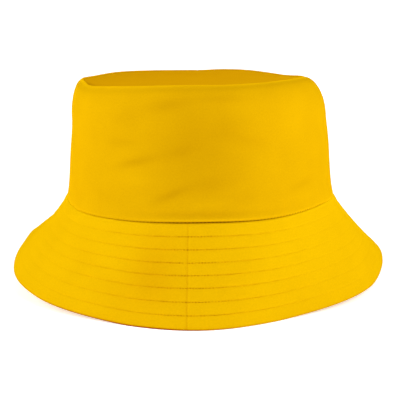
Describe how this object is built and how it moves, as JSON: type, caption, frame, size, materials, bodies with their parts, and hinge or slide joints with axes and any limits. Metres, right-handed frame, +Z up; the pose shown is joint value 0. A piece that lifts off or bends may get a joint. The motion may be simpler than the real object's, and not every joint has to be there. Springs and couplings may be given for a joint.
{
  "type": "bucket hat",
  "caption": "Soft cotton bucket hat with a sunken oval top, an upright crown and a wide sloped brim stitched in rings, standing on its brim.",
  "frame": {"origin": "middle of the hat seen from above, on the surface that its brim stands on", "axes": "+Z up out of the crown, +X to the right of the hat seen from the front, -Y the front"},
  "size_m": [0.2734, 0.2494, 0.1475],
  "materials": {
    "tip_cloth": "matt cotton twill",
    "crown_cloth": "matt cotton twill",
    "brim_cloth": "matt cotton twill, stitched in rings",
    "brim_under_cloth": "matt cotton twill, stitched in rings"
  },
  "bodies": {
    "root": {"crown_tip": "tip_cloth", "crown_side": "crown_cloth", "brim_top": "brim_cloth", "brim_under": "brim_under_cloth"}
  },
  "joints": []
}
